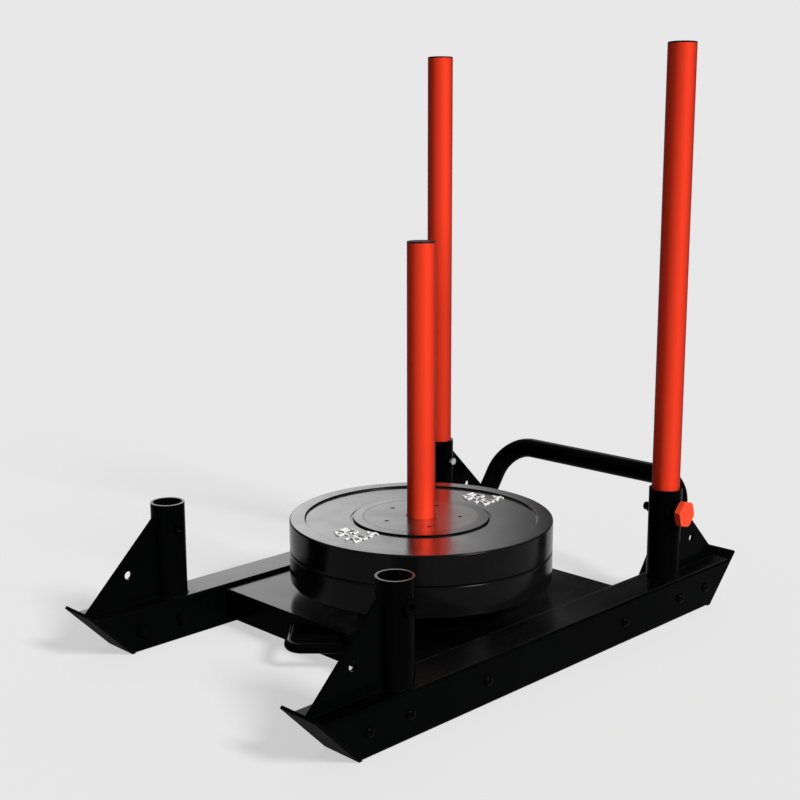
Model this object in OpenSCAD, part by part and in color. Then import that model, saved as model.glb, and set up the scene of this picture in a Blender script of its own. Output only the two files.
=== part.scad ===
// Push sled: two tube rails with replaceable ski noses, a steel deck between them, four corner sockets,
// two lift-out push poles held by clamp knobs, a low handle at the rear and a post that carries plates.
// +X is the sled's width, +Y is its length with the push poles at +Y, +Z is up. The floor is at Z = 0.

/* [Rails] */
// Distance between the centre lines of the two rails
rail_spacing = 542; // [500:1:620]
// Width of a rail tube
rail_w = 70; // [62:1:84]
// Height of a rail tube
rail_h = 72; // [64:1:90]
// Wall of a rail tube
rail_wall = 3; // [2:0.5:4]
// Outer corner radius of a rail tube
rail_corner = 5; // [4.5:0.5:8]
// Length of a rail where it stands on the floor
rail_l = 868; // [780:1:1000]

/* [Ski noses] */
// Height of a ski tip above the rail
ski_over = 10; // [6:1:40]
// Slope of a ski plate from the floor, in degrees
ski_slope = 46; // [38:1:60]
// Thickness of a ski plate
ski_t = 5; // [3:0.5:8]
// Length of the insert that plugs into the rail, from the rail's floor end
insert_l = 140; // [120:1:180]
// Wall of the insert
insert_wall = 4; // [3:0.5:6]
// Gap all round between the insert and the inside of the rail
insert_gap = 0.3; // [0.2:0.1:1]

/* [Cross bolts] */
// Diameter of the bolts through the rails
bolt_d = 10; // [8:1:12]
// Diameter of a bolt's button head
bolt_head_d = 17; // [15:0.5:20]
// Height of a bolt's button head
bolt_head_h = 5.5; // [4:0.5:7]
// Radial clearance of a bolt in its holes
bolt_gap = 0.25; // [0.1:0.05:0.5]
// Height of the bolts above the floor
bolt_z = 38; // [32:1:42]
// Width across the flats of a bolt's nut
nut_af = 16; // [15:0.5:19]
// Height of a bolt's nut
nut_h = 8; // [6:0.5:10]
// Length of thread that shows past a nut
bolt_tail = 2; // [1:0.5:4]
// Distance from the rail's floor end to the outer nose bolt
nose_bolt_in = 19; // [16:1:30]
// Distance between the two bolts of a nose
nose_bolt_step = 80; // [60:1:90]
// Distance of a deck bolt from the middle of the sled
deck_bolt_y = 172; // [120:1:200]

/* [Poles and sockets] */
// Diameter of the push poles and of the centre post
pole_d = 48; // [44:0.5:50]
// Wall of the pole tubes
pole_wall = 3; // [2:0.5:5]
// Length of a push pole's tube
pole_l = 907; // [700:1:1100]
// Radial gap between a pole and its socket
pole_gap = 0.5; // [0.2:0.1:1]
// Wall of a socket
socket_wall = 4; // [3:0.5:6]
// Height of a corner socket above the rail
socket_h = 160; // [120:1:200]
// Distance from the rail's floor end back to the axis of a socket
socket_in = 103; // [96:1:130]
// Thickness of an end cap's flange
cap_t = 3; // [2:0.5:5]
// Depth of an end cap's plug
cap_plug = 20; // [10:1:30]
// Radial clearance of an end cap's plug
cap_gap = 0.1; // [0.05:0.05:0.3]

/* [Gussets] */
// Thickness of a gusset
gusset_t = 6; // [4:0.5:8]
// Height of a gusset where it meets its socket, above the rail
gusset_h = 140; // [90:1:150]
// Height of the blunt end of a gusset
gusset_toe = 4; // [2:0.5:8]
// Diameter of the hole in a gusset
gusset_hole_d = 14; // [10:0.5:18]
// Height of the hole above the rail
gusset_hole_up = 51; // [40:1:60]
// Distance of the hole from the axis of the socket
gusset_hole_out = 84; // [70:1:90]

/* [Clamps] */
// Distance from a socket's rim down to its clamp screws
clamp_drop = 40; // [25:1:60]
// Width across the flats of the outer weld nut
boss_af = 24; // [20:0.5:28]
// Height of the outer weld nut above the socket
boss_h = 4; // [3:0.5:8]
// Diameter of a knob's stud
stud_d = 12; // [10:1:14]
// Width of a clamp knob from corner to corner
knob_d = 48; // [36:1:60]
// Thickness of a clamp knob
knob_t = 11; // [8:0.5:20]
// Depth of the stud in the knob
knob_hold = 7; // [4:0.5:7.5]
// Turn of a clamp knob from upright, in degrees
knob_turn = 16; // [0:1:59]
// Outer diameter of the washer behind a knob
washer_d = 24; // [20:0.5:30]
// Thickness of the washer behind a knob
washer_t = 1.5; // [1:0.25:3]
// Gap between a screw's end and the pole
tip_gap = 0.3; // [0.2:0.1:0.5]
// Radial clearance of a screw in its weld nut
thread_gap = 0.08; // [0.02:0.01:0.1]
// Diameter of an inner set screw
set_d = 10; // [8:1:12]
// Width across the flats of an inner weld nut
set_nut_af = 17; // [15:0.5:19]
// Height of an inner weld nut above the socket
set_nut_h = 5; // [3:0.5:7]
// Width across the flats of a set screw's reduced head
set_head_af = 13; // [12:0.5:19]
// Height of a set screw's head
set_head_h = 6; // [4:0.5:8]
// Gap between an inner weld nut and its set screw's head
set_gap = 1.5; // [0.5:0.5:4]

/* [Deck] */
// Length of the deck
deck_l = 482; // [440:1:520]
// Thickness of the deck's steel
deck_t = 4; // [3:0.5:6]
// Depth of the deck's folded edges
deck_depth = 51; // [40:1:56]
// Distance from the top of the rails down to the deck
deck_drop = 6; // [4:1:12]
// Width of the stiffener under the deck
stiffener_w = 80; // [70:1:120]
// Wall of the stiffener
stiffener_wall = 3; // [2:0.5:5]

/* [Centre post] */
// Length of the centre post's tube
post_l = 644; // [400:1:800]
// Height of the plates' rest above the deck
rest_up = 25; // [15:1:40]
// Diameter of the rest flange
rest_d = 100; // [80:1:150]
// Thickness of the rest flange
rest_t = 3; // [3:0.5:6]
// Thickness of the floor plate under the post
floor_t = 4; // [3:0.5:6]
// Width of the floor plate under the post
floor_w = 70; // [62:1:78]

/* [Weight plates] */
// Diameter of a plate
plate_d = 450; // [350:1:460]
// Thickness of a plate
plate_t = 52; // [40:1:80]
// Diameter of a plate's bore
bore_d = 50.4; // [50.1:0.1:52]
// Radius of a plate's outer edges
plate_edge = 3; // [1:0.5:6]
// Width of a plate's raised rim
rim_w = 27; // [15:1:40]
// Diameter of a plate's hub where it meets the recess
hub_d = 234; // [210:1:250]
// Diameter of the hub discs
disc_d = 198; // [170:1:200]
// Drop of the hub's shoulder from its disc to its edge
shoulder = 1; // [0.5:0.5:2]
// Depth of the recess between rim and hub
recess = 3.5; // [2.5:0.5:6]
// Thickness of a hub disc
disc_t = 4; // [3:0.5:8]
// Number of screws through a hub
screw_count = 5; // [3:1:8]
// Distance of the hub screws from the plate's axis
screw_out = 67; // [50:1:80]
// Diameter of the hub screws
screw_d = 7; // [5:0.5:8]
// Turn of the hub screws from the +X axis, in degrees
screw_turn = 38; // [0:1:71]

/* [Low handle] */
// Diameter of the low handle's tube
handle_d = 38; // [30:1:45]
// Wall of the low handle's tube
handle_wall = 3; // [2:0.5:5]
// Lean of the low handle from upright, in degrees
handle_lean = 35; // [20:1:45]
// Bend radius of the low handle
handle_bend = 65; // [50:1:100]
// Height of the handle's bar above the floor
handle_h = 207; // [180:1:260]
// Distance of the handle's feet in from the rail's floor end
handle_in = 85.5; // [75:0.5:110]
// Height of the handle's feet above the floor
handle_foot = 15; // [10:1:25]

/* [Tow loop] */
// Diameter of the tow loop's rod
loop_d = 16; // [12:1:20]
// Distance from the middle of the sled to each end of the loop
loop_half = 60; // [45:1:90]
// Bend radius of the loop
loop_bend = 22; // [16:1:30]
// Distance from the top of the deck down to the loop
loop_drop = 27; // [18:1:32]

/* [Hidden] */
$fn = 96;
eps = 0.01;
far = 2000;
rail_x = rail_spacing / 2;
rail_in = rail_x - rail_w / 2;
rail_out = rail_x + rail_w / 2;
ski_h = rail_h + ski_over;
ski_run = 1 / tan(ski_slope);
ski_foot = rail_l / 2 - ski_t / sin(ski_slope);
socket_y = rail_l / 2 - socket_in;
socket_r = pole_d / 2 + pole_gap + socket_wall;
socket_top = rail_h + socket_h;
clamp_z = socket_top - clamp_drop;
nose_bolt_y = rail_l / 2 - nose_bolt_in;
insert_w = rail_w - 2 * rail_wall - 2 * insert_gap;
insert_h = rail_h - 2 * rail_wall - 2 * insert_gap;
insert_corner = max(rail_corner - rail_wall, 1);
boss_face = socket_r + boss_h;
knob_back = boss_face + washer_t;
set_face = socket_r + set_nut_h;
deck_top = rail_h - deck_drop;
deck_bottom = deck_top - deck_depth;
rest_top = deck_top + rest_up;
post_bottom = deck_bottom + 1;
deck_w = 2 * rail_in;
loop_z = deck_top - loop_drop;
handle_x = rail_in - handle_d / 2;
handle_y = rail_l / 2 - handle_in + (handle_h - handle_foot) * tan(handle_lean);

steel_black = "#161718";
red = "#e63a1e";
rubber_black = "#1f2021";
zinc = "#b9bcbd";

// Position along Y of a ski plate's inner face at height z
function ski_inner(z) = ski_foot + z * ski_run;

// An outline in Y and Z, made w wide along X
module across(w) {
    rotate([90, 0, 90])
        linear_extrude(height = w, center = true)
            children();
}

// An outline in X and Z, made l long along Y
module along(l) {
    rotate([90, 0, 0])
        linear_extrude(height = l, center = true)
            children();
}

// Children mirrored to the front end where end is -1
module at_end(end) {
    if (end < 0)
        mirror([0, 1, 0])
            children();
    else
        children();
}

// Children mirrored to the left side where side is -1
module at_side(side) {
    if (side < 0)
        mirror([1, 0, 0])
            children();
    else
        children();
}

// A child at every corner of the sled
module at_corners() {
    for (side = [-1, 1], end = [-1, 1])
        at_side(side)
            at_end(end)
                children();
}

// A cylinder that points along +X
module x_rod(d, l) {
    rotate([0, 90, 0])
        cylinder(d = d, h = l);
}

// A hexagon that points along +X, flat side down
module x_hex(af, l) {
    rotate([0, 90, 0])
        rotate([0, 0, 30])
            cylinder(d = af / cos(30), h = l, $fn = 6);
}

module rounded_rect(w, h, r) {
    square([w - 2 * r, h], center = true);
    square([w, h - 2 * r], center = true);
    for (x = [-1, 1], y = [-1, 1])
        translate([x * (w / 2 - r), y * (h / 2 - r)])
            circle(r = r);
}

module box_section(w, h, wall, corner) {
    difference() {
        rounded_rect(w, h, corner);
        rounded_rect(w - 2 * wall, h - 2 * wall, max(corner - wall, 1));
    }
}

module rail(side) {
    color(steel_black)
        translate([side * rail_x, 0, 0])
            difference() {
                intersection() {
                    translate([0, 0, rail_h / 2])
                        along(far)
                            box_section(rail_w, rail_h, rail_wall, rail_corner);
                    across(2 * rail_w)
                        polygon([
                            [-ski_inner(0), 0], [ski_inner(0), 0],
                            [ski_inner(rail_h), rail_h], [-ski_inner(rail_h), rail_h]
                        ]);
                }
                for (y = [-1, 1] * nose_bolt_y)
                    bolt_hole(y);
                for (y = [-1, 1] * (nose_bolt_y - nose_bolt_step))
                    bolt_hole(y);
                for (y = [-1, 1] * deck_bolt_y)
                    bolt_hole(y);
            }
}

module bolt_hole(y) {
    translate([-rail_w, y, bolt_z])
        x_rod(bolt_d + 2 * bolt_gap, 2 * rail_w);
}

module nose(side, end) {
    color(steel_black)
        at_end(end)
            translate([side * rail_x, 0, 0]) {
                across(rail_w)
                    polygon([
                        [ski_inner(0), 0], [rail_l / 2, 0], [rail_l / 2 + ski_h * ski_run, ski_h],
                        [rail_l / 2 + ski_h * ski_run - ski_t * sin(ski_slope), ski_h + ski_t * cos(ski_slope)]
                    ]);
                difference() {
                    intersection() {
                        translate([0, 0, rail_h / 2])
                            along(far)
                                box_section(insert_w, insert_h, insert_wall, insert_corner + insert_wall);
                        across(rail_w)
                            polygon([
                                [rail_l / 2 - insert_l, 0], [ski_inner(0) + ski_t / 2, 0],
                                [ski_inner(rail_h) + ski_t / 2, rail_h], [rail_l / 2 - insert_l, rail_h]
                            ]);
                    }
                    bolt_hole(nose_bolt_y);
                    bolt_hole(nose_bolt_y - nose_bolt_step);
                }
            }
}

module socket(side, end) {
    color(steel_black)
        at_end(end)
            at_side(side)
                translate([rail_x, socket_y, 0])
                    difference() {
                        translate([0, 0, rail_h])
                            cylinder(r = socket_r, h = socket_h);
                        translate([0, 0, rail_h - eps])
                            cylinder(r = socket_r - socket_wall, h = socket_h + 2 * eps);
                        translate([0, 0, clamp_z])
                            x_rod(stud_d + 2 * thread_gap, 2 * socket_r);
                        translate([-2 * socket_r, 0, clamp_z])
                            x_rod(set_d + 2 * thread_gap, 2 * socket_r);
                    }
}

module gusset(side, end) {
    toe_y = ski_inner(rail_h) - insert_gap;
    color(steel_black)
        at_end(end)
            translate([side * rail_x, 0, 0])
                difference() {
                    across(gusset_t)
                        polygon([
                            [socket_y, rail_h], [toe_y, rail_h], [toe_y, rail_h + gusset_toe],
                            [socket_y + socket_r, rail_h + gusset_h], [socket_y, rail_h + gusset_h]
                        ]);
                    translate([0, socket_y, 0])
                        cylinder(r = socket_r, h = far);
                    translate([-gusset_t, socket_y + gusset_hole_out, rail_h + gusset_hole_up])
                        x_rod(gusset_hole_d, 2 * gusset_t);
                }
}

// A hexagonal nut welded to the outside of a socket, from the socket's axis outwards
module weld_nut(af, face, bore) {
    difference() {
        x_hex(af, face);
        translate([0, 0, -socket_r])
            cylinder(r = socket_r, h = 2 * socket_r);
        x_rod(bore, 2 * face);
    }
}

module outer_weld_nuts() {
    color(steel_black)
        at_corners()
            translate([rail_x, socket_y, clamp_z])
                weld_nut(boss_af, boss_face, stud_d + 2 * thread_gap);
}

module inner_weld_nuts() {
    color(steel_black)
        at_corners()
            translate([rail_x, socket_y, clamp_z])
                mirror([1, 0, 0])
                    weld_nut(set_nut_af, set_face, set_d + 2 * thread_gap);
}

module set_screws() {
    tip = pole_d / 2 + tip_gap;
    color(zinc)
        for (side = [-1, 1])
            at_side(side)
                translate([rail_x, socket_y, clamp_z])
                    mirror([1, 0, 0]) {
                        translate([tip, 0, 0])
                            x_rod(set_d, set_face + set_gap - tip + eps);
                        translate([set_face + set_gap, 0, 0])
                            x_hex(set_head_af, set_head_h);
                    }
}

// A button-head bolt through a rail, from the rail's outer face inwards along -X
module cross_bolt(grip) {
    mirror([1, 0, 0])
        x_rod(bolt_d, grip);
    difference() {
        rotate([0, 90, 0])
            rotate_extrude()
                polygon([
                    [0, 0], [bolt_head_d / 2, 0], [bolt_head_d * 0.49, bolt_head_h * 0.3],
                    [bolt_head_d * 0.43, bolt_head_h * 0.65], [bolt_head_d * 0.33, bolt_head_h * 0.9],
                    [bolt_head_d * 0.25, bolt_head_h], [0, bolt_head_h]
                ]);
        translate([bolt_head_h / 2, 0, 0])
            x_hex(bolt_d * 0.5, bolt_head_h);
    }
}

// A nut whose far face is at x = 0 and that reaches along +X
module cross_nut() {
    difference() {
        x_hex(nut_af, nut_h);
        translate([-eps, 0, 0])
            x_rod(bolt_d + 2 * thread_gap, nut_h + 2 * eps);
    }
}

// A child at each of the two bolts of every nose
module at_nose_bolts() {
    at_corners()
        for (y = [nose_bolt_y, nose_bolt_y - nose_bolt_step])
            translate([0, y, bolt_z])
                children();
}

module nose_bolts() {
    color(steel_black)
        at_nose_bolts()
            translate([rail_out, 0, 0])
                cross_bolt(rail_w + nut_h + bolt_tail);
}

module nose_nuts() {
    color(steel_black)
        at_nose_bolts()
            translate([rail_in - nut_h, 0, 0])
                cross_nut();
}

module deck_bolts() {
    color(steel_black)
        at_corners()
            translate([rail_out, deck_bolt_y, bolt_z])
                cross_bolt(rail_w + deck_t + nut_h + bolt_tail);
}

module deck_nuts() {
    color(steel_black)
        at_corners()
            translate([rail_in - deck_t - nut_h, deck_bolt_y, bolt_z])
                cross_nut();
}

module deck() {
    color(steel_black)
        difference() {
            translate([-deck_w / 2, -deck_l / 2, deck_bottom])
                cube([deck_w, deck_l, deck_depth]);
            translate([deck_t - deck_w / 2, deck_t - deck_l / 2, deck_bottom - deck_t])
                cube([deck_w - 2 * deck_t, deck_l - 2 * deck_t, deck_depth]);
            cylinder(r = socket_r + insert_gap, h = far);
            at_corners()
                translate([rail_in - 2 * deck_t, deck_bolt_y, bolt_z])
                    x_rod(bolt_d + 2 * bolt_gap, 4 * deck_t);
        }
}

module deck_stiffener() {
    stiffener_h = deck_top - deck_t - post_bottom;
    color(steel_black)
        difference() {
            translate([0, 0, post_bottom + stiffener_h / 2])
                cube([deck_w - 2 * deck_t, stiffener_w, stiffener_h], center = true);
            translate([0, 0, post_bottom + stiffener_h / 2])
                cube([
                    deck_w,
                    stiffener_w - 2 * stiffener_wall,
                    stiffener_h - 2 * stiffener_wall
                ], center = true);
            cylinder(r = socket_r + insert_gap, h = far);
        }
}

module post_socket() {
    color(steel_black)
        difference() {
            translate([0, 0, post_bottom])
                cylinder(r = socket_r, h = rest_top - rest_t - post_bottom);
            translate([0, 0, post_bottom - eps])
                cylinder(r = socket_r - socket_wall, h = far);
        }
}

module rest_flange() {
    color(steel_black)
        difference() {
            translate([0, 0, rest_top - rest_t])
                cylinder(d = rest_d, h = rest_t);
            cylinder(r = socket_r - socket_wall, h = far);
        }
}

module post_floor() {
    color(steel_black)
        translate([-floor_w / 2, -floor_w / 2, post_bottom - floor_t])
            cube([floor_w, floor_w, floor_t]);
}

module tube(d, wall, l) {
    difference() {
        cylinder(d = d, h = l);
        translate([0, 0, -eps])
            cylinder(d = d - 2 * wall, h = l + 2 * eps);
    }
}

module end_cap() {
    color("#0c0c0d") {
        cylinder(d = pole_d, h = cap_t);
        translate([0, 0, -cap_plug])
            cylinder(d = pole_d - 2 * pole_wall - 2 * cap_gap, h = cap_plug + eps);
    }
}

module pole(side) {
    color(red)
        translate([side * rail_x, socket_y, rail_h])
            tube(pole_d, pole_wall, pole_l);
}

module pole_cap(side) {
    translate([side * rail_x, socket_y, rail_h + pole_l])
        end_cap();
}

module centre_post() {
    color(red)
        translate([0, 0, post_bottom])
            tube(pole_d, pole_wall, post_l);
}

module centre_post_cap() {
    translate([0, 0, post_bottom + post_l])
        end_cap();
}

// Children on the axis of a clamp, along +X from the socket's axis
module at_clamp(side) {
    at_side(side)
        translate([rail_x, socket_y, clamp_z])
            children();
}

module knob(side) {
    chamfer = 1.5;
    color(red)
        at_clamp(side)
            translate([knob_back, 0, 0])
                rotate([knob_turn, 0, 0])
                    rotate([0, 90, 0])
                        difference() {
                            intersection() {
                                cylinder(d = knob_d, h = knob_t, $fn = 6);
                                rotate_extrude()
                                    polygon([
                                        [0, 0], [knob_d / 2 - chamfer, 0], [knob_d / 2, chamfer],
                                        [knob_d / 2, knob_t - chamfer], [knob_d / 2 - chamfer, knob_t], [0, knob_t]
                                    ]);
                            }
                            translate([0, 0, -eps])
                                cylinder(d = stud_d, h = knob_hold + eps);
                        }
}

module knob_stud(side) {
    tip = pole_d / 2 + tip_gap;
    color(zinc)
        at_clamp(side)
            translate([tip, 0, 0])
                x_rod(stud_d, knob_back + knob_hold - tip);
}

module washer(side) {
    color(zinc)
        at_clamp(side)
            translate([boss_face, 0, 0])
                difference() {
                    x_rod(washer_d, washer_t);
                    translate([-eps, 0, 0])
                        x_rod(stud_d + 2 * bolt_gap, washer_t + 2 * eps);
                }
}

module low_handle() {
    bar_half = handle_x - handle_bend;
    leg_l = (handle_h - handle_foot) / cos(handle_lean) + handle_d;
    color(steel_black)
        difference() {
            translate([0, handle_y, handle_h])
                rotate([-handle_lean, 0, 0]) {
                    translate([-bar_half, 0, 0])
                        rotate([0, 90, 0])
                            tube(handle_d, handle_wall, 2 * bar_half);
                    for (side = [-1, 1])
                        at_side(side) {
                            translate([bar_half, 0, -handle_bend])
                                rotate([90, 0, 0])
                                    rotate_extrude(angle = 90)
                                        translate([handle_bend, 0])
                                            difference() {
                                                circle(d = handle_d);
                                                circle(d = handle_d - 2 * handle_wall);
                                            }
                            translate([handle_x, 0, -leg_l])
                                tube(handle_d, handle_wall, leg_l - handle_bend);
                        }
                }
            translate([-far / 2, -far / 2, handle_foot - far])
                cube([far, far, far]);
        }
}

module handle_plugs() {
    foot_l = (handle_h - handle_foot) / cos(handle_lean);
    color("#0c0c0d")
        difference() {
            for (side = [-1, 1])
                at_side(side)
                    translate([handle_x, handle_y, handle_h])
                        rotate([-handle_lean, 0, 0])
                            translate([0, 0, -foot_l - handle_d])
                                cylinder(d = handle_d - 2 * handle_wall - 2 * cap_gap, h = handle_d + cap_plug);
            translate([-far / 2, -far / 2, handle_foot - far])
                cube([far, far, far]);
        }
}

module tow_loop() {
    tip = deck_l / 2 + loop_half;
    arm = (loop_half + loop_d) * sqrt(2) - loop_bend;
    color(steel_black)
        difference() {
            translate([0, -tip, loop_z]) {
                translate([0, loop_bend * sqrt(2), 0])
                    rotate([0, 0, 225])
                        rotate_extrude(angle = 90)
                            translate([loop_bend, 0])
                                circle(d = loop_d);
                for (side = [-1, 1])
                    at_side(side)
                        rotate([0, 0, -45])
                            translate([0, loop_bend - eps, 0])
                                rotate([-90, 0, 0])
                                    cylinder(d = loop_d, h = arm);
            }
            translate([-far / 2, -deck_l / 2, 0])
                cube([far, far, far]);
        }
}

// A plate's rubber, standing on z = 0
module plate_rubber() {
    r = plate_d / 2;
    hub_r = hub_d / 2;
    disc_r = disc_d / 2;
    rim_r = r - rim_w;
    half = plate_t / 2;
    translate([0, 0, half])
        rotate_extrude($fn = 180) {
            polygon([
                [disc_r, -half], [hub_r, shoulder - half], [hub_r, recess - half], [rim_r, recess - half],
                [rim_r, -half], [r - plate_edge, -half], [r - plate_edge, plate_edge - half],
                [r, plate_edge - half], [r, half - plate_edge], [r - plate_edge, half - plate_edge],
                [r - plate_edge, half], [rim_r, half], [rim_r, half - recess], [hub_r, half - recess],
                [hub_r, half - shoulder], [disc_r, half]
            ]);
            for (up = [-1, 1])
                translate([r - plate_edge, up * (half - plate_edge)])
                    circle(r = plate_edge);
        }
}

// A child at each of the screws through a hub
module at_hub_screws() {
    for (i = [0 : screw_count - 1])
        rotate([0, 0, screw_turn + i * 360 / screw_count])
            translate([screw_out, 0, 0])
                children();
}

// A steel ring of a hub, from height low to height high
module hub_ring(low, high) {
    difference() {
        translate([0, 0, low])
            cylinder(d = disc_d, h = high - low);
        translate([0, 0, low - eps])
            cylinder(d = bore_d, h = high - low + 2 * eps);
        at_hub_screws()
            translate([0, 0, low - eps])
                cylinder(d = screw_d + 2 * cap_gap, h = high - low + 2 * eps);
    }
}

module plate(z) {
    color(rubber_black)
        translate([0, 0, z])
            plate_rubber();
}

module hub_discs(z) {
    color(rubber_black)
        translate([0, 0, z]) {
            hub_ring(0, disc_t);
            hub_ring(plate_t - disc_t, plate_t);
        }
}

module hub_core(z) {
    color(zinc)
        translate([0, 0, z])
            hub_ring(disc_t, plate_t - disc_t);
}

module hub_screws(z) {
    color("#0c0c0d")
        translate([0, 0, z])
            at_hub_screws()
                cylinder(d = screw_d, h = plate_t);
}

rail(-1);  // left_rail
rail(1);  // right_rail
nose(-1, -1);  // front_left_nose
nose(1, -1);  // front_right_nose
nose(-1, 1);  // rear_left_nose
nose(1, 1);  // rear_right_nose
socket(-1, -1);  // front_left_socket
socket(1, -1);  // front_right_socket
socket(-1, 1);  // rear_left_socket
socket(1, 1);  // rear_right_socket
gusset(-1, -1);  // front_left_gusset
gusset(1, -1);  // front_right_gusset
gusset(-1, 1);  // rear_left_gusset
gusset(1, 1);  // rear_right_gusset
outer_weld_nuts();
inner_weld_nuts();
set_screws();
nose_bolts();
nose_nuts();
deck_bolts();
deck_nuts();
deck();
deck_stiffener();
tow_loop();
low_handle();
handle_plugs();
post_socket();
rest_flange();
post_floor();
pole(-1);  // left_pole
pole_cap(-1);  // left_pole_cap
pole(1);  // right_pole
pole_cap(1);  // right_pole_cap
centre_post();
centre_post_cap();
knob(-1);  // left_knob
knob_stud(-1);  // left_knob_stud
washer(-1);  // left_washer
knob(1);  // right_knob
knob_stud(1);  // right_knob_stud
washer(1);  // right_washer
plate(rest_top);  // lower_plate
hub_discs(rest_top);  // lower_hub_discs
hub_core(rest_top);  // lower_hub_core
hub_screws(rest_top);  // lower_hub_screws
plate(rest_top + plate_t);  // upper_plate
hub_discs(rest_top + plate_t);  // upper_hub_discs
hub_core(rest_top + plate_t);  // upper_hub_core
hub_screws(rest_top + plate_t);  // upper_hub_screws
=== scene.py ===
import math

import bmesh
import bpy
from mathutils import Matrix, Vector


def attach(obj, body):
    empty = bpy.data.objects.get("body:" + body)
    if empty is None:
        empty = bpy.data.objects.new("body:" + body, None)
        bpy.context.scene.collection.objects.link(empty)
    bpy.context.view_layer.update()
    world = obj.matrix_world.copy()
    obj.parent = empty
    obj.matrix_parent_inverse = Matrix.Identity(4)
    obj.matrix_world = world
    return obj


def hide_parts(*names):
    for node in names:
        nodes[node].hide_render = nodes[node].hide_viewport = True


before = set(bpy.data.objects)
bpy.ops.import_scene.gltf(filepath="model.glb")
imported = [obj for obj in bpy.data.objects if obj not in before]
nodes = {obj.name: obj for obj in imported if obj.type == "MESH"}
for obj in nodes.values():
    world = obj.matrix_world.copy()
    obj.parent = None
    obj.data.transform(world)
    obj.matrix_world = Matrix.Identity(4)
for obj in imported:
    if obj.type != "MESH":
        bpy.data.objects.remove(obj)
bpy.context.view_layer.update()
mm = 0.001

# shapes

# the distance in metres at which points merge, and the face angles in degrees
copying = {"merge": 2e-6, "coplanar": 0.3, "hard": 28, "sharp": 50}


def addPiece(name, mesh, material, body, replaced=(), sharpAngle=40):
    piece = bpy.data.objects.new(name, mesh)
    bpy.context.scene.collection.objects.link(piece)
    mesh.materials.clear()
    mesh.materials.append(material)
    mesh.shade_smooth()
    mesh.set_sharp_from_angle(angle=math.radians(sharpAngle))
    # large flat faces keep their own shading beside their rounded edges
    piece.modifiers.new("weighted normals", "WEIGHTED_NORMAL").keep_sharp = True
    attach(piece, body)
    if replaced:
        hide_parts(*replaced)
    return piece


def keptMesh(name, shape):
    mesh = bpy.data.meshes.new(name)
    shape.to_mesh(mesh)
    shape.free()
    return mesh


def placedMesh(name, shape, place):
    # a shape drawn in mm becomes a mesh in metres at its place
    bmesh.ops.transform(shape, matrix=place @ Matrix.Scale(mm, 4), verts=shape.verts)
    return keptMesh(name, shape)


def joinMeshes(name, meshes):
    shape = bmesh.new()
    for mesh in meshes:
        shape.from_mesh(mesh)
    return keptMesh(name, shape)


def roundedCopy(node, rounding, material, body, steps=2, half=None):
    # the node's own shape with its coplanar faces joined and every hard edge rounded off;
    # half is "left" or "right" where only that side of the node is wanted
    shape = bmesh.new()
    shape.from_mesh(nodes[node].data)
    if half:
        other = [vert for vert in shape.verts if (vert.co.x > 0) == (half == "left")]
        bmesh.ops.delete(shape, geom=other, context="VERTS")
    bmesh.ops.remove_doubles(shape, verts=shape.verts, dist=copying["merge"])
    bmesh.ops.dissolve_limit(shape, angle_limit=math.radians(copying["coplanar"]),
                             verts=shape.verts, edges=shape.edges)
    hard = [edge for edge in shape.edges
            if len(edge.link_faces) == 2 and edge.calc_face_angle(0) > math.radians(copying["hard"])]
    bmesh.ops.bevel(shape, geom=hard, offset=rounding * mm, segments=steps, profile=0.5,
                    affect="EDGES", clamp_overlap=True)
    name = node + ("_" + half if half else "") + "_piece"
    mesh = keptMesh(node + "_shape", shape)
    return addPiece(name, mesh, material, body, (node,), copying["sharp"])


def turns(count):
    return [2 * math.pi * k / count for k in range(count)]


def stitch(shape, rings, closed=False, matched=False):
    # faces between each ring of points and the next
    for low, high in zip(rings, rings[1:] + rings[:1] if closed else rings[1:]):
        count = len(low)
        shift = 0
        if matched:
            # start at the nearest corner, because the rings may turn along their path
            shift = min(range(count), key=lambda k: (low[0].co - high[k].co).length)
        for k in range(count):
            following = (k + 1) % count
            shape.faces.new((low[k], low[following],
                             high[(following + shift) % count], high[(k + shift) % count]))


def roundCorners(corners, closed, steps):
    # corners are (x, y, radius); a radius above 0 turns the corner into an arc
    points = []
    count = len(corners)
    for index, (x, y, radius) in enumerate(corners):
        here = Vector((x, y))
        if radius == 0 or (not closed and index in (0, count - 1)):
            points.append(here)
            continue
        toLast = (Vector(corners[index - 1][:2]) - here).normalized()
        toNext = (Vector(corners[(index + 1) % count][:2]) - here).normalized()
        half = toLast.angle(toNext) / 2
        centre = here + (toLast + toNext).normalized() * radius / math.sin(half)
        start = here + toLast * radius / math.tan(half) - centre
        end = here + toNext * radius / math.tan(half) - centre
        for step in range(steps + 1):
            # slerp gives a direction of length 1
            points.append(centre + start.normalized().slerp(end.normalized(), step / steps) * radius)
    return points


def turnedMesh(name, corners, closed=True, segments=128, steps=4, place=Matrix.Identity(4)):
    # a profile of (radius, height, rounding) in mm, turned about Z
    shape = bmesh.new()
    rings = []
    for point in roundCorners(corners, closed, steps):
        rings.append([shape.verts.new((point.x * math.cos(turn), point.x * math.sin(turn), point.y))
                      for turn in turns(segments)])
    if not closed:
        shape.faces.new(list(reversed(rings[0])))
        shape.faces.new(rings[-1])
    stitch(shape, rings, closed)
    bmesh.ops.recalc_face_normals(shape, faces=shape.faces)
    return placedMesh(name, shape, place)


def at(x, y, z):
    return Matrix.Translation(Vector((x, y, z)) * mm)


def facing(direction):
    # turns +Z towards a direction
    return Vector(direction).to_track_quat("Z", "Y").to_matrix().to_4x4()


# materials


def newMaterial(name):
    material = bpy.data.materials.new(name)
    material.use_nodes = True
    tree = material.node_tree
    return material, tree, tree.nodes["Principled BSDF"]


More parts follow.
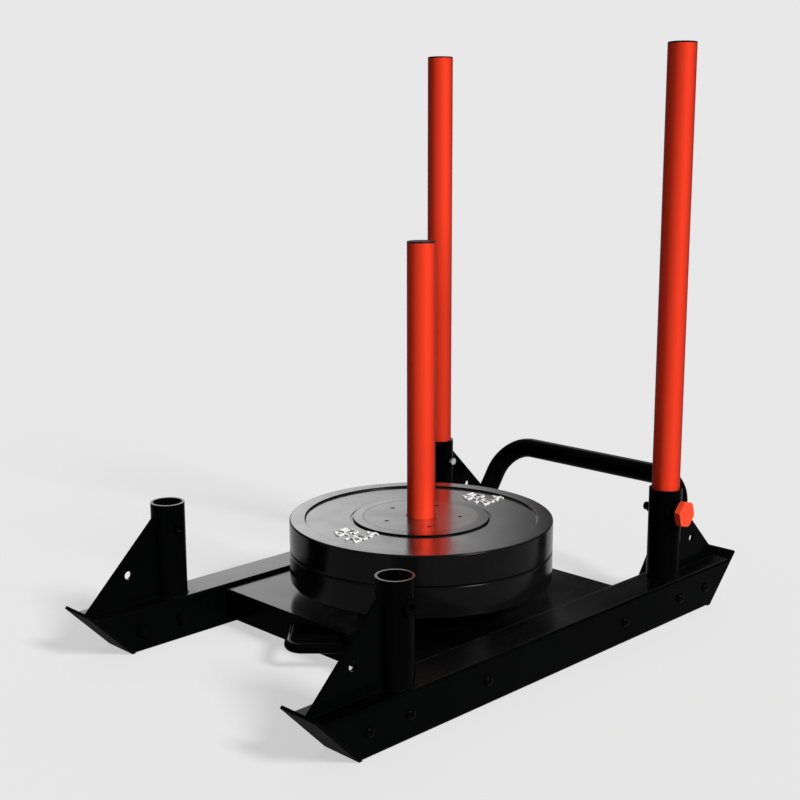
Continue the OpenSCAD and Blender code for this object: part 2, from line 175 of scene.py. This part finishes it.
def noise(tree, source, scale, detail=3.0, roughness=0.5, stretch=(1, 1, 1)):
    mapping = tree.nodes.new("ShaderNodeMapping")
    mapping.inputs["Scale"].default_value = stretch
    tree.links.new(source, mapping.inputs["Vector"])
    texture = tree.nodes.new("ShaderNodeTexNoise")
    texture.inputs["Scale"].default_value = scale
    texture.inputs["Detail"].default_value = detail
    texture.inputs["Roughness"].default_value = roughness
    tree.links.new(mapping.outputs["Vector"], texture.inputs["Vector"])
    return texture.outputs["Fac"]


def spread(tree, value, low, high, fromLow=0.3, fromHigh=0.7):
    ranged = tree.nodes.new("ShaderNodeMapRange")
    ranged.inputs["From Min"].default_value = fromLow
    ranged.inputs["From Max"].default_value = fromHigh
    ranged.inputs["To Min"].default_value = low
    ranged.inputs["To Max"].default_value = high
    tree.links.new(value, ranged.inputs["Value"])
    return ranged.outputs["Result"]


def feed(tree, socket, value):
    # a plain value is set on the socket, an output is linked to it
    if isinstance(value, (tuple, float, int)):
        socket.default_value = value
    else:
        tree.links.new(value, socket)


def mixColours(tree, factor, first, second):
    mix = tree.nodes.new("ShaderNodeMix")
    mix.data_type = "RGBA"
    feed(tree, mix.inputs["Factor"], factor)
    feed(tree, mix.inputs["A"], first)
    feed(tree, mix.inputs["B"], second)
    return mix.outputs["Result"]


def maths(tree, operation, first, second=0.0):
    node = tree.nodes.new("ShaderNodeMath")
    node.operation = operation
    node.use_clamp = operation in ("MULTIPLY", "ADD")
    feed(tree, node.inputs[0], first)
    feed(tree, node.inputs[1], second)
    return node.outputs["Value"]


def bumps(tree, shader, layers):
    # layers are (height, strength, distance in mm)
    last = None
    for height, strength, distance in layers:
        bump = tree.nodes.new("ShaderNodeBump")
        bump.inputs["Strength"].default_value = strength
        bump.inputs["Distance"].default_value = distance * mm
        tree.links.new(height, bump.inputs["Height"])
        if last:
            tree.links.new(last, bump.inputs["Normal"])
        last = bump.outputs["Normal"]
    tree.links.new(last, shader.inputs["Normal"])


def objectPlace(tree):
    return tree.nodes.new("ShaderNodeTexCoord").outputs["Object"]


def slanted(tree):
    # 0 where a face is seen straight on, 1 where it is seen edge on
    weight = tree.nodes.new("ShaderNodeLayerWeight")
    weight.inputs["Blend"].default_value = 0.5
    return weight.outputs["Facing"]


def slantMirror(tree, shader, tint, mirror):
    # level faces turn into dark mirrors where they are seen at a slant
    normal = tree.nodes.new("ShaderNodeSeparateXYZ")
    tree.links.new(tree.nodes.new("ShaderNodeNewGeometry").outputs["Normal"], normal.inputs["Vector"])
    slant = slanted(tree)
    level = spread(tree, normal.outputs["Z"], 0, 1, fromLow=0.94, fromHigh=0.99)
    metal = maths(tree, "MULTIPLY", level, spread(tree, slant, 0, 1, fromLow=0.42, fromHigh=0.50))
    silver = maths(tree, "MULTIPLY", level, spread(tree, slant, 0, 1, fromLow=0.50, fromHigh=0.66))
    tree.links.new(metal, shader.inputs["Metallic"])
    return mixColours(tree, silver, tint, mirror)


def coated(name, look):
    # a powder coat: fine orange peel, slow changes of gloss, a breath of dust,
    # and bare metal where it drags, with painted shade where it is seen at a slant if asked
    material, tree, shader = newMaterial(name)
    place = objectPlace(tree)
    cloud = noise(tree, place, scale=9, detail=4, roughness=0.6)
    peel = noise(tree, place, scale=look["peelScale"], detail=2)
    fine = noise(tree, place, scale=look["peelScale"] * 4, detail=1)
    tint = mixColours(tree, spread(tree, cloud, 0, 1), look["colour"], look["dusty"])
    if look.get("paintedEdgeShade"):
        # painted shade: the coat's colour darkens where it is seen at a slant, standing in for the shade
        # along a lit tube's edges
        paintedShadeMask = spread(tree, slanted(tree), 0, 1, fromLow=0.10, fromHigh=0.80)
        tint = mixColours(tree, paintedShadeMask, tint, look["paintedEdgeShade"])
    shine = spread(tree, cloud, look["rough"] - 0.03, look["rough"] + 0.03)
    shader.inputs["Metallic"].default_value = look["metal"]
    shader.inputs["Specular Tint"].default_value = look.get("edgeTint", (1, 1, 1, 1))
    if look.get("dragHeight"):
        split = tree.nodes.new("ShaderNodeSeparateXYZ")
        tree.links.new(place, split.inputs["Vector"])
        low = spread(tree, split.outputs["Z"], 1, 0, fromLow=0, fromHigh=look["dragHeight"] * mm)
        streak = noise(tree, place, scale=60, detail=4, roughness=0.7, stretch=(6, 0.35, 1))
        worn = maths(tree, "MULTIPLY", low, spread(tree, streak, 0, 1, fromLow=0.42, fromHigh=0.52))
        tint = mixColours(tree, worn, tint, look["bare"])
        tree.links.new(worn, shader.inputs["Metallic"])
        shine = maths(tree, "ADD", maths(tree, "MULTIPLY", worn, 0.5), shine)
    if look.get("mirror"):
        tint = slantMirror(tree, shader, tint, look["mirror"])
    tree.links.new(tint, shader.inputs["Base Color"])
    tree.links.new(shine, shader.inputs["Roughness"])
    shader.inputs["IOR"].default_value = look["ior"]
    bumps(tree, shader, ((peel, look["peel"], 0.25), (fine, look["peel"] * 0.6, 0.06)))
    return material


def plated(name, look):
    # bare metal: a fine grain, stretched where it is brushed, and cloudy changes of tone
    material, tree, shader = newMaterial(name)
    place = objectPlace(tree)
    brushed = noise(tree, place, scale=260, detail=3, roughness=0.6, stretch=look["brush"])
    cloud = noise(tree, place, scale=40, detail=3)
    tint = mixColours(tree, spread(tree, cloud, 0, 1), look["colour"], look["dull"])
    rough = spread(tree, brushed, look["rough"] - 0.06, look["rough"] + 0.08)
    tree.links.new(tint, shader.inputs["Base Color"])
    tree.links.new(rough, shader.inputs["Roughness"])
    shader.inputs["Metallic"].default_value = 1
    bumps(tree, shader, ((brushed, 0.15, 0.05),))
    return material


def moulded(name, look):
    # rubber and plastic: fine grain, faint flow marks, pale specks and a little bloom
    material, tree, shader = newMaterial(name)
    place = objectPlace(tree)
    grain = noise(tree, place, scale=look["grainScale"], detail=2, roughness=0.6)
    flow = noise(tree, place, scale=14, detail=4, roughness=0.65, stretch=(1, 1, 3))
    speck = noise(tree, place, scale=420, detail=1)
    speckled = spread(tree, speck, 0, look["specks"], fromLow=0.66, fromHigh=0.74)
    tint = mixColours(tree, spread(tree, flow, 0, 1), look["colour"], look["bloom"])
    tint = mixColours(tree, speckled, tint, look["speckColour"])
    if look.get("mirror"):
        tint = slantMirror(tree, shader, tint, look["mirror"])
    rough = spread(tree, flow, look["rough"] - 0.04, look["rough"] + 0.05)
    tree.links.new(tint, shader.inputs["Base Color"])
    tree.links.new(rough, shader.inputs["Roughness"])
    shader.inputs["IOR"].default_value = look["ior"]
    bumps(tree, shader, ((grain, look["grain"], 0.15),))
    return material


def grey(level):
    return (level, level, level, 1)


blackCoat = {"colour": (0.0008, 0.0009, 0.0009, 1), "dusty": (0.0014, 0.0015, 0.0015, 1),
             "rough": 0.20, "ior": 1.05, "peelScale": 700, "peel": 0.015, "metal": 0.0}
frameBlack = coated("frame_powder_coat", {**blackCoat, "mirror": grey(0.20)})
skiBlack = coated("ski_powder_coat", {**blackCoat, "rough": 0.62, "ior": 1.07, "dragHeight": 2.0,
                                      "bare": (0.10, 0.10, 0.105, 1)})
redCoat = {"colour": (0.95, 0.053, 0.019, 1), "dusty": (0.93, 0.055, 0.021, 1),
           "rough": 0.48, "ior": 1.10, "peelScale": 700, "peel": 0.03, "metal": 0.22,
           "edgeTint": (0.30, 0.02, 0.008, 1)}
# the poles' colour darkens towards their edges, where they are seen at a slant, as painted shade
poleRed = coated("pole_powder_coat", {**redCoat, "ior": 1.14, "paintedEdgeShade": (0.26, 0.010, 0.005, 1)})
knobRed = coated("knob_powder_coat", {**redCoat, "colour": (0.95, 0.075, 0.030, 1),
                                      "dusty": (0.93, 0.078, 0.032, 1)})
zincPlate = plated("zinc_plating", {"colour": (0.60, 0.61, 0.62, 1), "dull": (0.42, 0.43, 0.43, 1),
                                    "brush": (1, 1, 1), "rough": 0.28})
coreSteel = plated("machined_steel", {"colour": (0.40, 0.40, 0.41, 1), "dull": grey(0.30),
                                      "brush": (1, 1, 8), "rough": 0.34})
boltBlack = coated("bolt_black_oxide", {"colour": (0.0010, 0.0010, 0.0011, 1), "dusty": grey(0.0016),
                                        "rough": 0.14, "ior": 1.07, "peelScale": 1500, "peel": 0.04,
                                        "metal": 0.0})
capBlack = moulded("cap_plastic", {"colour": (0.003, 0.003, 0.0032, 1), "bloom": grey(0.005),
                                   "specks": 0.0, "speckColour": grey(0.02), "rough": 0.36,
                                   "ior": 1.2, "grainScale": 1600, "grain": 0.06})
plateRubber = moulded("plate_rubber", {"colour": (0.0030, 0.0031, 0.0032, 1),
                                       "bloom": (0.0042, 0.0043, 0.0044, 1), "specks": 0.15,
                                       "speckColour": (0.012, 0.012, 0.013, 1), "rough": 0.18,
                                       "ior": 1.15, "grainScale": 1300, "grain": 0.02,
                                       "mirror": grey(0.43)})
hubBlack = moulded("hub_coat", {"colour": (0.020, 0.020, 0.0205, 1), "bloom": (0.025, 0.025, 0.0255, 1),
                                "specks": 0.0, "speckColour": grey(0.03), "rough": 0.22,
                                "ior": 1.18, "grainScale": 1800, "grain": 0.01,
                                "mirror": grey(0.50)})
markWhite = moulded("mark_white", {"colour": (0.78, 0.78, 0.77, 1), "bloom": (0.70, 0.70, 0.69, 1),
                                   "specks": 0.3, "speckColour": (0.45, 0.45, 0.44, 1), "rough": 0.5,
                                   "ior": 1.4, "grainScale": 900, "grain": 0.05})
print("materials made")

# frame

frameEdges = {
    "left_rail": 0.6, "right_rail": 0.6,
    "front_left_nose": 0.7, "front_right_nose": 0.7, "rear_left_nose": 0.7, "rear_right_nose": 0.7,
    "front_left_socket": 0.8, "front_right_socket": 0.8, "rear_left_socket": 0.8, "rear_right_socket": 0.8,
    "front_left_gusset": 0.6, "front_right_gusset": 0.6, "rear_left_gusset": 0.6, "rear_right_gusset": 0.6,
    "outer_weld_nuts": 0.7, "inner_weld_nuts": 0.6, "deck": 1.6, "deck_stiffener": 0.8, "tow_loop": 0.4,
    "low_handle": 0.5, "post_socket": 0.6, "rest_flange": 0.8, "post_floor": 0.8,
}
for node, rounding in frameEdges.items():
    coat = skiBlack if node.endswith("_nose") else frameBlack
    roundedCopy(node, rounding, coat, "sled")
# the left set screw is bright, the right one dark
roundedCopy("set_screws", 1.0, zincPlate, "sled", steps=3, half="left")
roundedCopy("set_screws", 1.0, boltBlack, "sled", steps=3, half="right")
roundedCopy("nose_nuts", 0.5, boltBlack, "sled")
roundedCopy("deck_nuts", 0.5, boltBlack, "sled")
roundedCopy("handle_plugs", 0.6, capBlack, "sled")
print("frame made")

# bolts

bolt = {"shank": 10, "head": 17, "headHeight": 5.5, "lip": 0.5, "dome": (12, 24, 36, 48, 60),
        "domeShare": 0.9, "key": 5, "keyDepth": 3, "keyChamfer": 0.3, "segments": 48,
        "railOut": 306, "height": 38}
boltGroups = {"nose_bolts": {"rows": (415, 335), "length": 80}, "deck_bolts": {"rows": (172,), "length": 84}}


def boltMesh(name, side, y, length):
    # a plain shank and a domed button head with a hexagon socket
    shape = bmesh.new()

    def ring(size, height, hexagon=False):
        corners = []
        for turn in turns(bolt["segments"]):
            reach = size
            if hexagon:
                reach = size / math.cos((turn % (math.pi / 3)) - math.pi / 6)
            corners.append(shape.verts.new((reach * math.cos(turn), reach * math.sin(turn), height)))
        return corners

    shank, key, radius = bolt["shank"] / 2, bolt["key"] / 2, bolt["head"] / 2
    rings = [ring(shank, -length), ring(shank, 0), ring(radius, 0), ring(radius, bolt["lip"])]
    for degrees in bolt["dome"]:
        rise = math.radians(degrees)
        top = bolt["lip"] + bolt["headHeight"] * math.sin(rise) * bolt["domeShare"]
        rings.append(ring(radius * math.cos(rise), top))
    rings += [ring(key + bolt["keyChamfer"], top, hexagon=True),
              ring(key, top - bolt["keyChamfer"], hexagon=True),
              ring(key, top - bolt["keyDepth"], hexagon=True)]
    shape.faces.new(rings[0])
    shape.faces.new(rings[-1])
    stitch(shape, rings)
    bmesh.ops.recalc_face_normals(shape, faces=shape.faces)
    return placedMesh(name, shape, at(side * bolt["railOut"], y, bolt["height"]) @ facing((side, 0, 0)))


for group, sizes in boltGroups.items():
    meshes = [boltMesh("bolt", side, end * y, sizes["length"])
              for side in (-1, 1) for end in (-1, 1) for y in sizes["rows"]]
    addPiece(group + "_piece", joinMeshes(group, meshes), boltBlack, "sled", (group,), 35)
print("bolts made")

# welds

bead = {"size": 1.3, "around": 8, "swell": 0.16, "ripple": 2.1, "taper": 0.35, "step": 1.6}
socketWeld = {"x": 271, "y": 331, "radius": 28.5, "out": 0.6, "steps": 110, "railTop": 72, "lift": 0.3}
gussetWeld = {"half": 3, "out": 0.5, "from": 30, "toe": 495, "low": 74, "top": 210}
loopWeld = {"size": 1.5, "x": 60, "y": -241.2, "z": 39, "radius": 8, "slant": 1.42, "steps": 40}


def beadMesh(path, size, closed=False):
    # a weld bead along a path in mm, with the ripples of its runs
    shape = bmesh.new()
    points = [Vector(point) for point in path]
    last = len(points) - 1
    rings = []
    for index, point in enumerate(points):
        before = points[index - 1] if closed or index > 0 else point
        after = points[(index + 1) % len(points)] if closed or index < last else point
        along = (after - before).normalized()
        side = along.orthogonal().normalized()
        up = along.cross(side)
        reach = size * (1 + bead["swell"] * math.sin(index * bead["ripple"]))
        if not closed and index in (0, last):
            reach *= bead["taper"]
        rings.append([shape.verts.new(point + reach * (math.cos(turn) * side + math.sin(turn) * up))
                      for turn in turns(bead["around"])])
    stitch(shape, rings, closed, matched=True)
    if not closed:
        shape.faces.new(rings[0])
        shape.faces.new(rings[-1])
    bmesh.ops.recalc_face_normals(shape, faces=shape.faces)
    return placedMesh("bead", shape, Matrix.Identity(4))


def line(start, end):
    start, end = Vector(start), Vector(end)
    count = max(2, int((end - start).length / bead["step"]))
    return [start.lerp(end, k / count) for k in range(count + 1)]


weldMeshes = []
for side in (-1, 1):
    for end in (-1, 1):
        # round the socket's foot, then along both sides of its gusset
        x, y = side * socketWeld["x"], end * socketWeld["y"]
        out, foot = socketWeld["radius"] + socketWeld["out"], socketWeld["railTop"] + socketWeld["lift"]
        circle = [(x + out * math.cos(turn), y + out * math.sin(turn), foot)
                  for turn in turns(socketWeld["steps"])]
        weldMeshes.append(beadMesh(circle, bead["size"], closed=True))
        for half in (-1, 1):
            across = x + half * (gussetWeld["half"] + gussetWeld["out"])
            level = line((across, y + end * gussetWeld["from"], foot),
                         (across, end * gussetWeld["toe"], foot))
            beside = y + end * (socketWeld["radius"] + socketWeld["lift"])
            upright = line((across, beside, gussetWeld["low"]), (across, beside, gussetWeld["top"]))
            weldMeshes += [beadMesh(level, bead["size"]), beadMesh(upright, bead["size"])]
    # round the tow loop's end, an ellipse because the rod meets the deck at a slant
    ellipse = [(side * loopWeld["x"] + loopWeld["radius"] * loopWeld["slant"] * math.cos(turn),
                loopWeld["y"], loopWeld["z"] + loopWeld["radius"] * math.sin(turn))
               for turn in turns(loopWeld["steps"])]
    weldMeshes.append(beadMesh(ellipse, loopWeld["size"], closed=True))
addPiece("weld_beads", joinMeshes("weld_beads", weldMeshes), frameBlack, "sled", (), 70)
print("welds made")

# poles and post

pole = {"radius": 24, "wall": 3, "rim": 0.6, "segments": 96}
cap = {"flange": 3, "plug": 20, "play": 0.1, "shoulder": 0.7, "crownIn": 3.2, "crownDrop": 0.15, "flat": 2}
tubes = {
    "left_pole": {"x": -271, "y": 331, "low": 72, "high": 979, "cap": "left_cap_piece"},
    "right_pole": {"x": 271, "y": 331, "low": 72, "high": 979, "cap": "right_cap_piece"},
    "centre_post": {"x": 0, "y": 0, "low": 16, "high": 660, "cap": "centre_cap_piece"},
}


def poleMesh(name, tube):
    outer, inner, rim = pole["radius"], pole["radius"] - pole["wall"], pole["rim"]
    low, high = tube["low"], tube["high"]
    profile = [(outer, low, rim), (outer, high, rim), (inner, high, rim), (inner, low, rim)]
    return turnedMesh(name, profile, segments=pole["segments"], place=at(tube["x"], tube["y"], 0))


def capMesh(name, tube):
    # a plug with a flange, its top slightly crowned
    radius, seat = pole["radius"], tube["high"]
    inner = radius - pole["wall"] - cap["play"]
    top = seat + cap["flange"]
    profile = [(inner, seat - cap["plug"], 0), (inner, seat, 0), (radius, seat, 0.2),
               (radius, top - cap["shoulder"], 0.8),
               (radius - cap["crownIn"], top - cap["crownDrop"], 0.6), (cap["flat"], top, 0)]
    return turnedMesh(name, profile, closed=False, segments=pole["segments"],
                      place=at(tube["x"], tube["y"], 0))


for node, tube in tubes.items():
    body = node + "_body"
    addPiece(node + "_piece", poleMesh(node + "_tube", tube), poleRed, body, (node,))
    addPiece(tube["cap"], capMesh(node + "_lid", tube), capBlack, body, (node + "_cap",))
print("poles made")

# clamps

for side in ("left", "right"):
    roundedCopy(side + "_knob", 0.9, knobRed, side + "_knob_body", steps=3)
    roundedCopy(side + "_knob_stud", 0.6, zincPlate, side + "_knob_body")
    roundedCopy(side + "_washer", 0.35, zincPlate, side + "_washer_body")
print("clamps made")

# weight plates

plate = {"radius": 225, "thick": 52, "rimWidth": 27.5, "edge": 3.2, "recess": 3.3, "hub": 117, "disc": 99,
         "discPlay": 0.15, "discDrop": 0.05, "collar": 2.0, "shoulder": 0.4, "shoulderIn": 1,
         "grooveFrom": 0.3, "grooveTo": 3.2, "grooveEdge": 3.6, "grooveDepth": 1.2, "rimSlope": 0.9,
         "bases": {"lower": 91, "upper": 143}}
screw = {"count": 5, "out": 67, "firstTurn": 38, "radius": 3.5, "below": 0.25, "edge": 0.4,
         "socket": 1.5, "socketFoot": 1.4, "socketDepth": 1.6}


def rubberMesh(name, base):
    # the upper half's section from the disc outwards, mirrored for the lower half
    half, disc, hub = plate["thick"] / 2, plate["disc"], plate["hub"]
    rim = plate["radius"] - plate["rimWidth"]
    collar, recess = half - plate["discDrop"], half - plate["recess"]
    groove = recess - plate["grooveDepth"]
    upper = [(disc + plate["discPlay"], collar, 0.25), (disc + plate["collar"], collar, 1.0),
             (hub - plate["shoulderIn"], half - plate["shoulder"], 0.8),
             (hub + plate["grooveFrom"], groove, 0.4), (hub + plate["grooveTo"], groove, 0.4),
             (hub + plate["grooveEdge"], recess, 0.5), (rim, recess, 1.4),
             (rim + plate["rimSlope"], half, 1.1), (plate["radius"], half, plate["edge"])]
    lower = [(radius, -height, rounding) for radius, height, rounding in reversed(upper)]
    return turnedMesh(name, upper + lower, segments=256, steps=5, place=at(0, 0, base + half))


def hubScrewMesh(name, base):
    # flat screws that go right through, a little below the discs, with a small round socket at each end
    meshes = []
    low, high = base + screw["below"], base + plate["thick"] - screw["below"]
    profile = [(screw["socketFoot"], low + screw["socketDepth"], 0), (screw["socket"], low, 0.1),
               (screw["radius"], low, screw["edge"]), (screw["radius"], high, screw["edge"]),
               (screw["socket"], high, 0.1), (screw["socketFoot"], high - screw["socketDepth"], 0)]
    for k in range(screw["count"]):
        turn = math.radians(screw["firstTurn"] + 360 * k / screw["count"])
        place = at(screw["out"] * math.cos(turn), screw["out"] * math.sin(turn), 0)
        meshes.append(turnedMesh("screw", profile, closed=False, segments=24, steps=2, place=place))
    return joinMeshes(name, meshes)


strokes = {  # cells of a grid that a raised mark fills, row by row from the top
    "0": (".XXX.", "X...X", "X...X", "X...X", "X...X", "X...X", ".XXX."),
    "2": (".XXX.", "X...X", "....X", "...X.", "..X..", ".X...", "XXXXX"),
    "4": ("...X.", "..XX.", ".X.X.", "X..X.", "XXXXX", "...X.", "...X."),
    "5": ("XXXXX", "X....", "XXXX.", "....X", "....X", "X...X", ".XXX."),
    ".": ("..", "..", "..", "..", "..", "XX", "XX"),
}
# the plate's weight in plain numbers, in pounds over kilograms
marks = {"y": (-152, 161), "tilt": 5.7, "raise": 2.0, "sink": 0.2, "gap": 0.8, "gridRows": 7,
         "rounding": 0.2, "corner": 0.5,
         "rows": ({"text": "45", "height": 32, "width": 41.5, "across": -25},
                  {"text": "20.4", "height": 25, "width": 62.6, "across": 12.5})}


def markMesh(name, row, y, base, up):
    # raised figures that read along +Y, with their tops towards -X
    shape = bmesh.new()
    columns = [len(strokes[figure][0]) for figure in row["text"]]
    wide = row["width"] / (sum(columns) + marks["gap"] * (len(columns) - 1))
    tall = row["height"] / marks["gridRows"]
    start = -row["width"] / 2
    for figure, across in zip(row["text"], columns):
        for down, cells in enumerate(strokes[figure]):
            for column, filled in enumerate(cells):
                if filled != "X":
                    continue
                top, left = -row["height"] / 2 + down * tall, start + column * wide
                corners = ((top, left), (top + tall, left), (top + tall, left + wide), (top, left + wide))
                shape.faces.new([shape.verts.new((*corner, 0)) for corner in corners])
        start += (across + marks["gap"]) * wide
    bmesh.ops.remove_doubles(shape, verts=shape.verts, dist=0.01)
    bmesh.ops.dissolve_limit(shape, angle_limit=0.01, verts=shape.verts, edges=shape.edges)
    raised = bmesh.ops.extrude_face_region(shape, geom=shape.faces[:])
    bmesh.ops.translate(shape, vec=(0, 0, marks["raise"]),
                        verts=[part for part in raised["geom"] if isinstance(part, bmesh.types.BMVert)])
    bmesh.ops.recalc_face_normals(shape, faces=shape.faces)
    sharp = [edge for edge in shape.edges
             if len(edge.link_faces) == 2 and edge.calc_face_angle(0) > marks["corner"]]
    ridges = [edge for edge in sharp if all(vert.co.z > marks["raise"] / 2 for vert in edge.verts)]
    uprights = [edge for edge in sharp
                if abs(edge.verts[0].co.z - edge.verts[1].co.z) > marks["raise"] / 2]
    bmesh.ops.bevel(shape, geom=ridges + uprights, offset=wide * marks["rounding"], segments=3, profile=0.5,
                    affect="EDGES", clamp_overlap=True)
    if up:
        turned = Matrix.Rotation(math.radians(marks["tilt"]), 4, "Z")
        face = base + plate["thick"] - plate["recess"] - marks["sink"]
    else:
        turned = Matrix.Rotation(math.pi, 4, "X")
        face = base + plate["recess"] + marks["sink"]
    return placedMesh(name, shape, at(0, y, face) @ turned @ at(row["across"], 0, 0))


for which, base in plate["bases"].items():
    body = which + "_plate_body"
    addPiece(which + "_rubber", rubberMesh(which, base), plateRubber, body,
             (which + "_plate",), 32)
    roundedCopy(which + "_hub_discs", 0.5, hubBlack, body)
    addPiece(which + "_screw_set", hubScrewMesh(which, base), boltBlack, body,
             (which + "_hub_screws",), 35)
    figures = [markMesh("mark", row, y, base, up)
               for up in (True, False) for y in marks["y"] for row in marks["rows"]]
    addPiece(which + "_marks", joinMeshes(which + "_marks", figures), markWhite, body)
    core = nodes[which + "_hub_core"]
    core.data.materials.clear()
    core.data.materials.append(coreSteel)
print("plates made")

# floor, lights and camera

studio = {"floorSize": 60, "floorDrop": 0.0004, "floorSeen": 0.25, "floorBounce": 0.25, "floorGlow": 0.541,
          "backdrop": 0.807, "ambient": 0.15, "darkness": 0.01, "ceiling": 0.8, "ceilingFrom": (28, 40)}
# a soft panel that only mirrors see, cut off at its top; its angles are in degrees
panel = {"strength": 1.1, "azimuth": -61, "height": 16, "inner": 10, "outer": 22, "top": (21.5, 23)}
lamps = {"key": {"strength": 4.15, "azimuth": 50, "height": 38, "angle": 16, "mirrored": True},
         "fill": {"strength": 0.5, "azimuth": 178, "height": 35, "angle": 60, "mirrored": False}}
view = {"place": (1.5090, -1.5536, 0.8223), "yaw": -45.108, "pitch": 11.133, "roll": -0.1285,
        "focal": 1311.8, "pixels": 800, "sensor": 36, "reach": 200}


def seenRay(tree):
    # 1 for rays from the camera, a mirror or glass, 0 for soft light
    path = tree.nodes.new("ShaderNodeLightPath")
    seen = maths(tree, "MAXIMUM", path.outputs["Is Camera Ray"], path.outputs["Is Glossy Ray"])
    return maths(tree, "MAXIMUM", seen, path.outputs["Is Transmission Ray"]), path.outputs["Is Camera Ray"]


floorMesh = bpy.data.meshes.new("floor")
size = studio["floorSize"]
floorMesh.from_pydata([(-size, -size, 0), (size, -size, 0), (size, size, 0), (-size, size, 0)], [],
                      [(0, 1, 2, 3)])
floor = bpy.data.objects.new("floor", floorMesh)
bpy.context.scene.collection.objects.link(floor)
floor.location.z = -studio["floorDrop"]
floorPaint, tree, shader = newMaterial("floor_paint")
seen = seenRay(tree)[0]
paint = mixColours(tree, seen, grey(studio["floorBounce"]), grey(studio["floorSeen"]))
tree.links.new(paint, shader.inputs["Base Color"])
tree.links.new(maths(tree, "MULTIPLY", seen, studio["floorGlow"]), shader.inputs["Emission Strength"])
shader.inputs["Emission Color"].default_value = (1, 1, 1, 1)
shader.inputs["Roughness"].default_value = 1
shader.inputs["Specular IOR Level"].default_value = 0
floorMesh.materials.append(floorPaint)

world = bpy.data.worlds.new("studio")
bpy.context.scene.world = world
world.use_nodes = True
tree = world.node_tree
seen, fromCamera = seenRay(tree)
direction = tree.nodes.new("ShaderNodeTexCoord").outputs["Generated"]
split = tree.nodes.new("ShaderNodeSeparateXYZ")
tree.links.new(direction, split.inputs["Vector"])


def sine(degrees):
    return math.sin(math.radians(degrees))


def cosine(degrees):
    return math.cos(math.radians(degrees))


def softPatch(azimuth, height, inner, outer):
    # 1 at the patch's middle and 0 outside it; azimuth is counted from +Y towards +X
    dot = tree.nodes.new("ShaderNodeVectorMath")
    dot.operation = "DOT_PRODUCT"
    dot.inputs[1].default_value = (sine(azimuth) * cosine(height), cosine(azimuth) * cosine(height),
                                   sine(height))
    tree.links.new(direction, dot.inputs[0])
    return spread(tree, dot.outputs["Value"], 0, 1, fromLow=cosine(outer), fromHigh=cosine(inner))


def fromHeight(heights, before, after):
    # runs from one value to the other between two heights above the horizon
    low, high = heights
    return spread(tree, split.outputs["Z"], before, after, fromLow=sine(low), fromHigh=sine(high))


patch = softPatch(panel["azimuth"], panel["height"], panel["inner"], panel["outer"])
patch = maths(tree, "MULTIPLY", patch, fromHeight(panel["top"], 1, 0))
mirrored = mixColours(tree, patch, grey(studio["darkness"]), grey(panel["strength"]))
mirrored = mixColours(tree, fromHeight(studio["ceilingFrom"], 0, 1), mirrored, grey(studio["ceiling"]))
soft = mixColours(tree, seen, grey(studio["ambient"]), mirrored)
sky = mixColours(tree, fromCamera, soft, grey(studio["backdrop"]))
tree.links.new(sky, tree.nodes["Background"].inputs["Color"])

forward = Vector((sine(view["yaw"]) * cosine(view["pitch"]), cosine(view["yaw"]) * cosine(view["pitch"]),
                  -sine(view["pitch"])))
right = Vector((cosine(view["yaw"]), -sine(view["yaw"]), 0))
up = right.cross(forward)
right, up = (cosine(view["roll"]) * right + sine(view["roll"]) * up,
             -sine(view["roll"]) * right + cosine(view["roll"]) * up)
cameraData = bpy.data.cameras.new("camera")
camera = bpy.data.objects.new("camera", cameraData)
bpy.context.scene.collection.objects.link(camera)
camera.matrix_world = Matrix.Translation(view["place"]) @ Matrix((right, up, -forward)).transposed().to_4x4()
cameraData.sensor_width = view["sensor"]
cameraData.lens = view["focal"] * view["sensor"] / view["pixels"]
cameraData.clip_end = view["reach"]
bpy.context.scene.camera = camera


def addSun(name, strength, azimuth, height, angle, mirrored):
    # azimuth is counted from the camera's side of the sled towards the camera's right
    lamp = bpy.data.lights.new(name, "SUN")
    lamp.energy = strength
    lamp.angle = math.radians(angle)
    level = (Vector((-forward.x, -forward.y, 0)).normalized() * cosine(azimuth)
             + Vector((right.x, right.y, 0)).normalized() * sine(azimuth))
    towards = level * cosine(height) + Vector((0, 0, sine(height)))
    holder = bpy.data.objects.new(name, lamp)
    bpy.context.scene.collection.objects.link(holder)
    holder.rotation_euler = towards.to_track_quat("Z", "Y").to_euler()
    holder.visible_glossy = mirrored


for name, lamp in lamps.items():
    addSun(name, **lamp)
bpy.context.scene.view_settings.view_transform = "Standard"
print("studio made")
